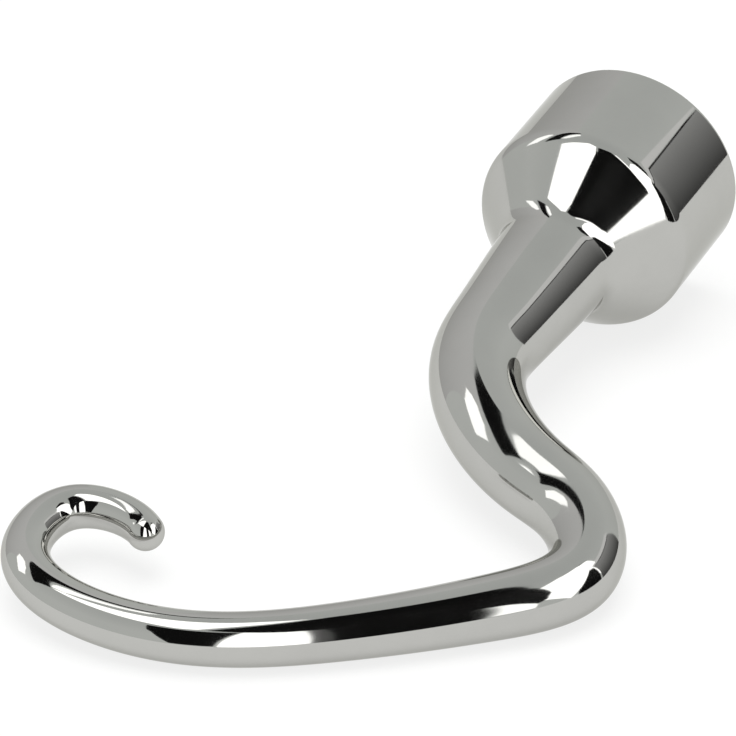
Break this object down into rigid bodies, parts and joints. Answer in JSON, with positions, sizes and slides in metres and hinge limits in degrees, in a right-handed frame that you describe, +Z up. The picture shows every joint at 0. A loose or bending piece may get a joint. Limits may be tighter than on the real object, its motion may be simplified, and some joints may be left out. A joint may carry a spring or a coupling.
{
  "type": "stand mixer dough hook",
  "caption": "C-shaped dough hook in polished steel: a hollow drive collar with a tapering round rod bent to an S and a C, for kneading dough in a stand mixer.",
  "frame": {"origin": "on the floor, below the centre of the hook's box as it lies at rest", "axes": "+Z up; +Y along the hook from its bow to its drive collar, whose axis rises 7 degrees towards the mouth; +X to the side on which the heel of the C stands out"},
  "size_m": [0.0853, 0.1428, 0.038],
  "materials": {
    "polished_steel": "mirror polished stainless steel"
  },
  "bodies": {
    "root": {"dough_hook": "polished_steel"}
  },
  "joints": []
}
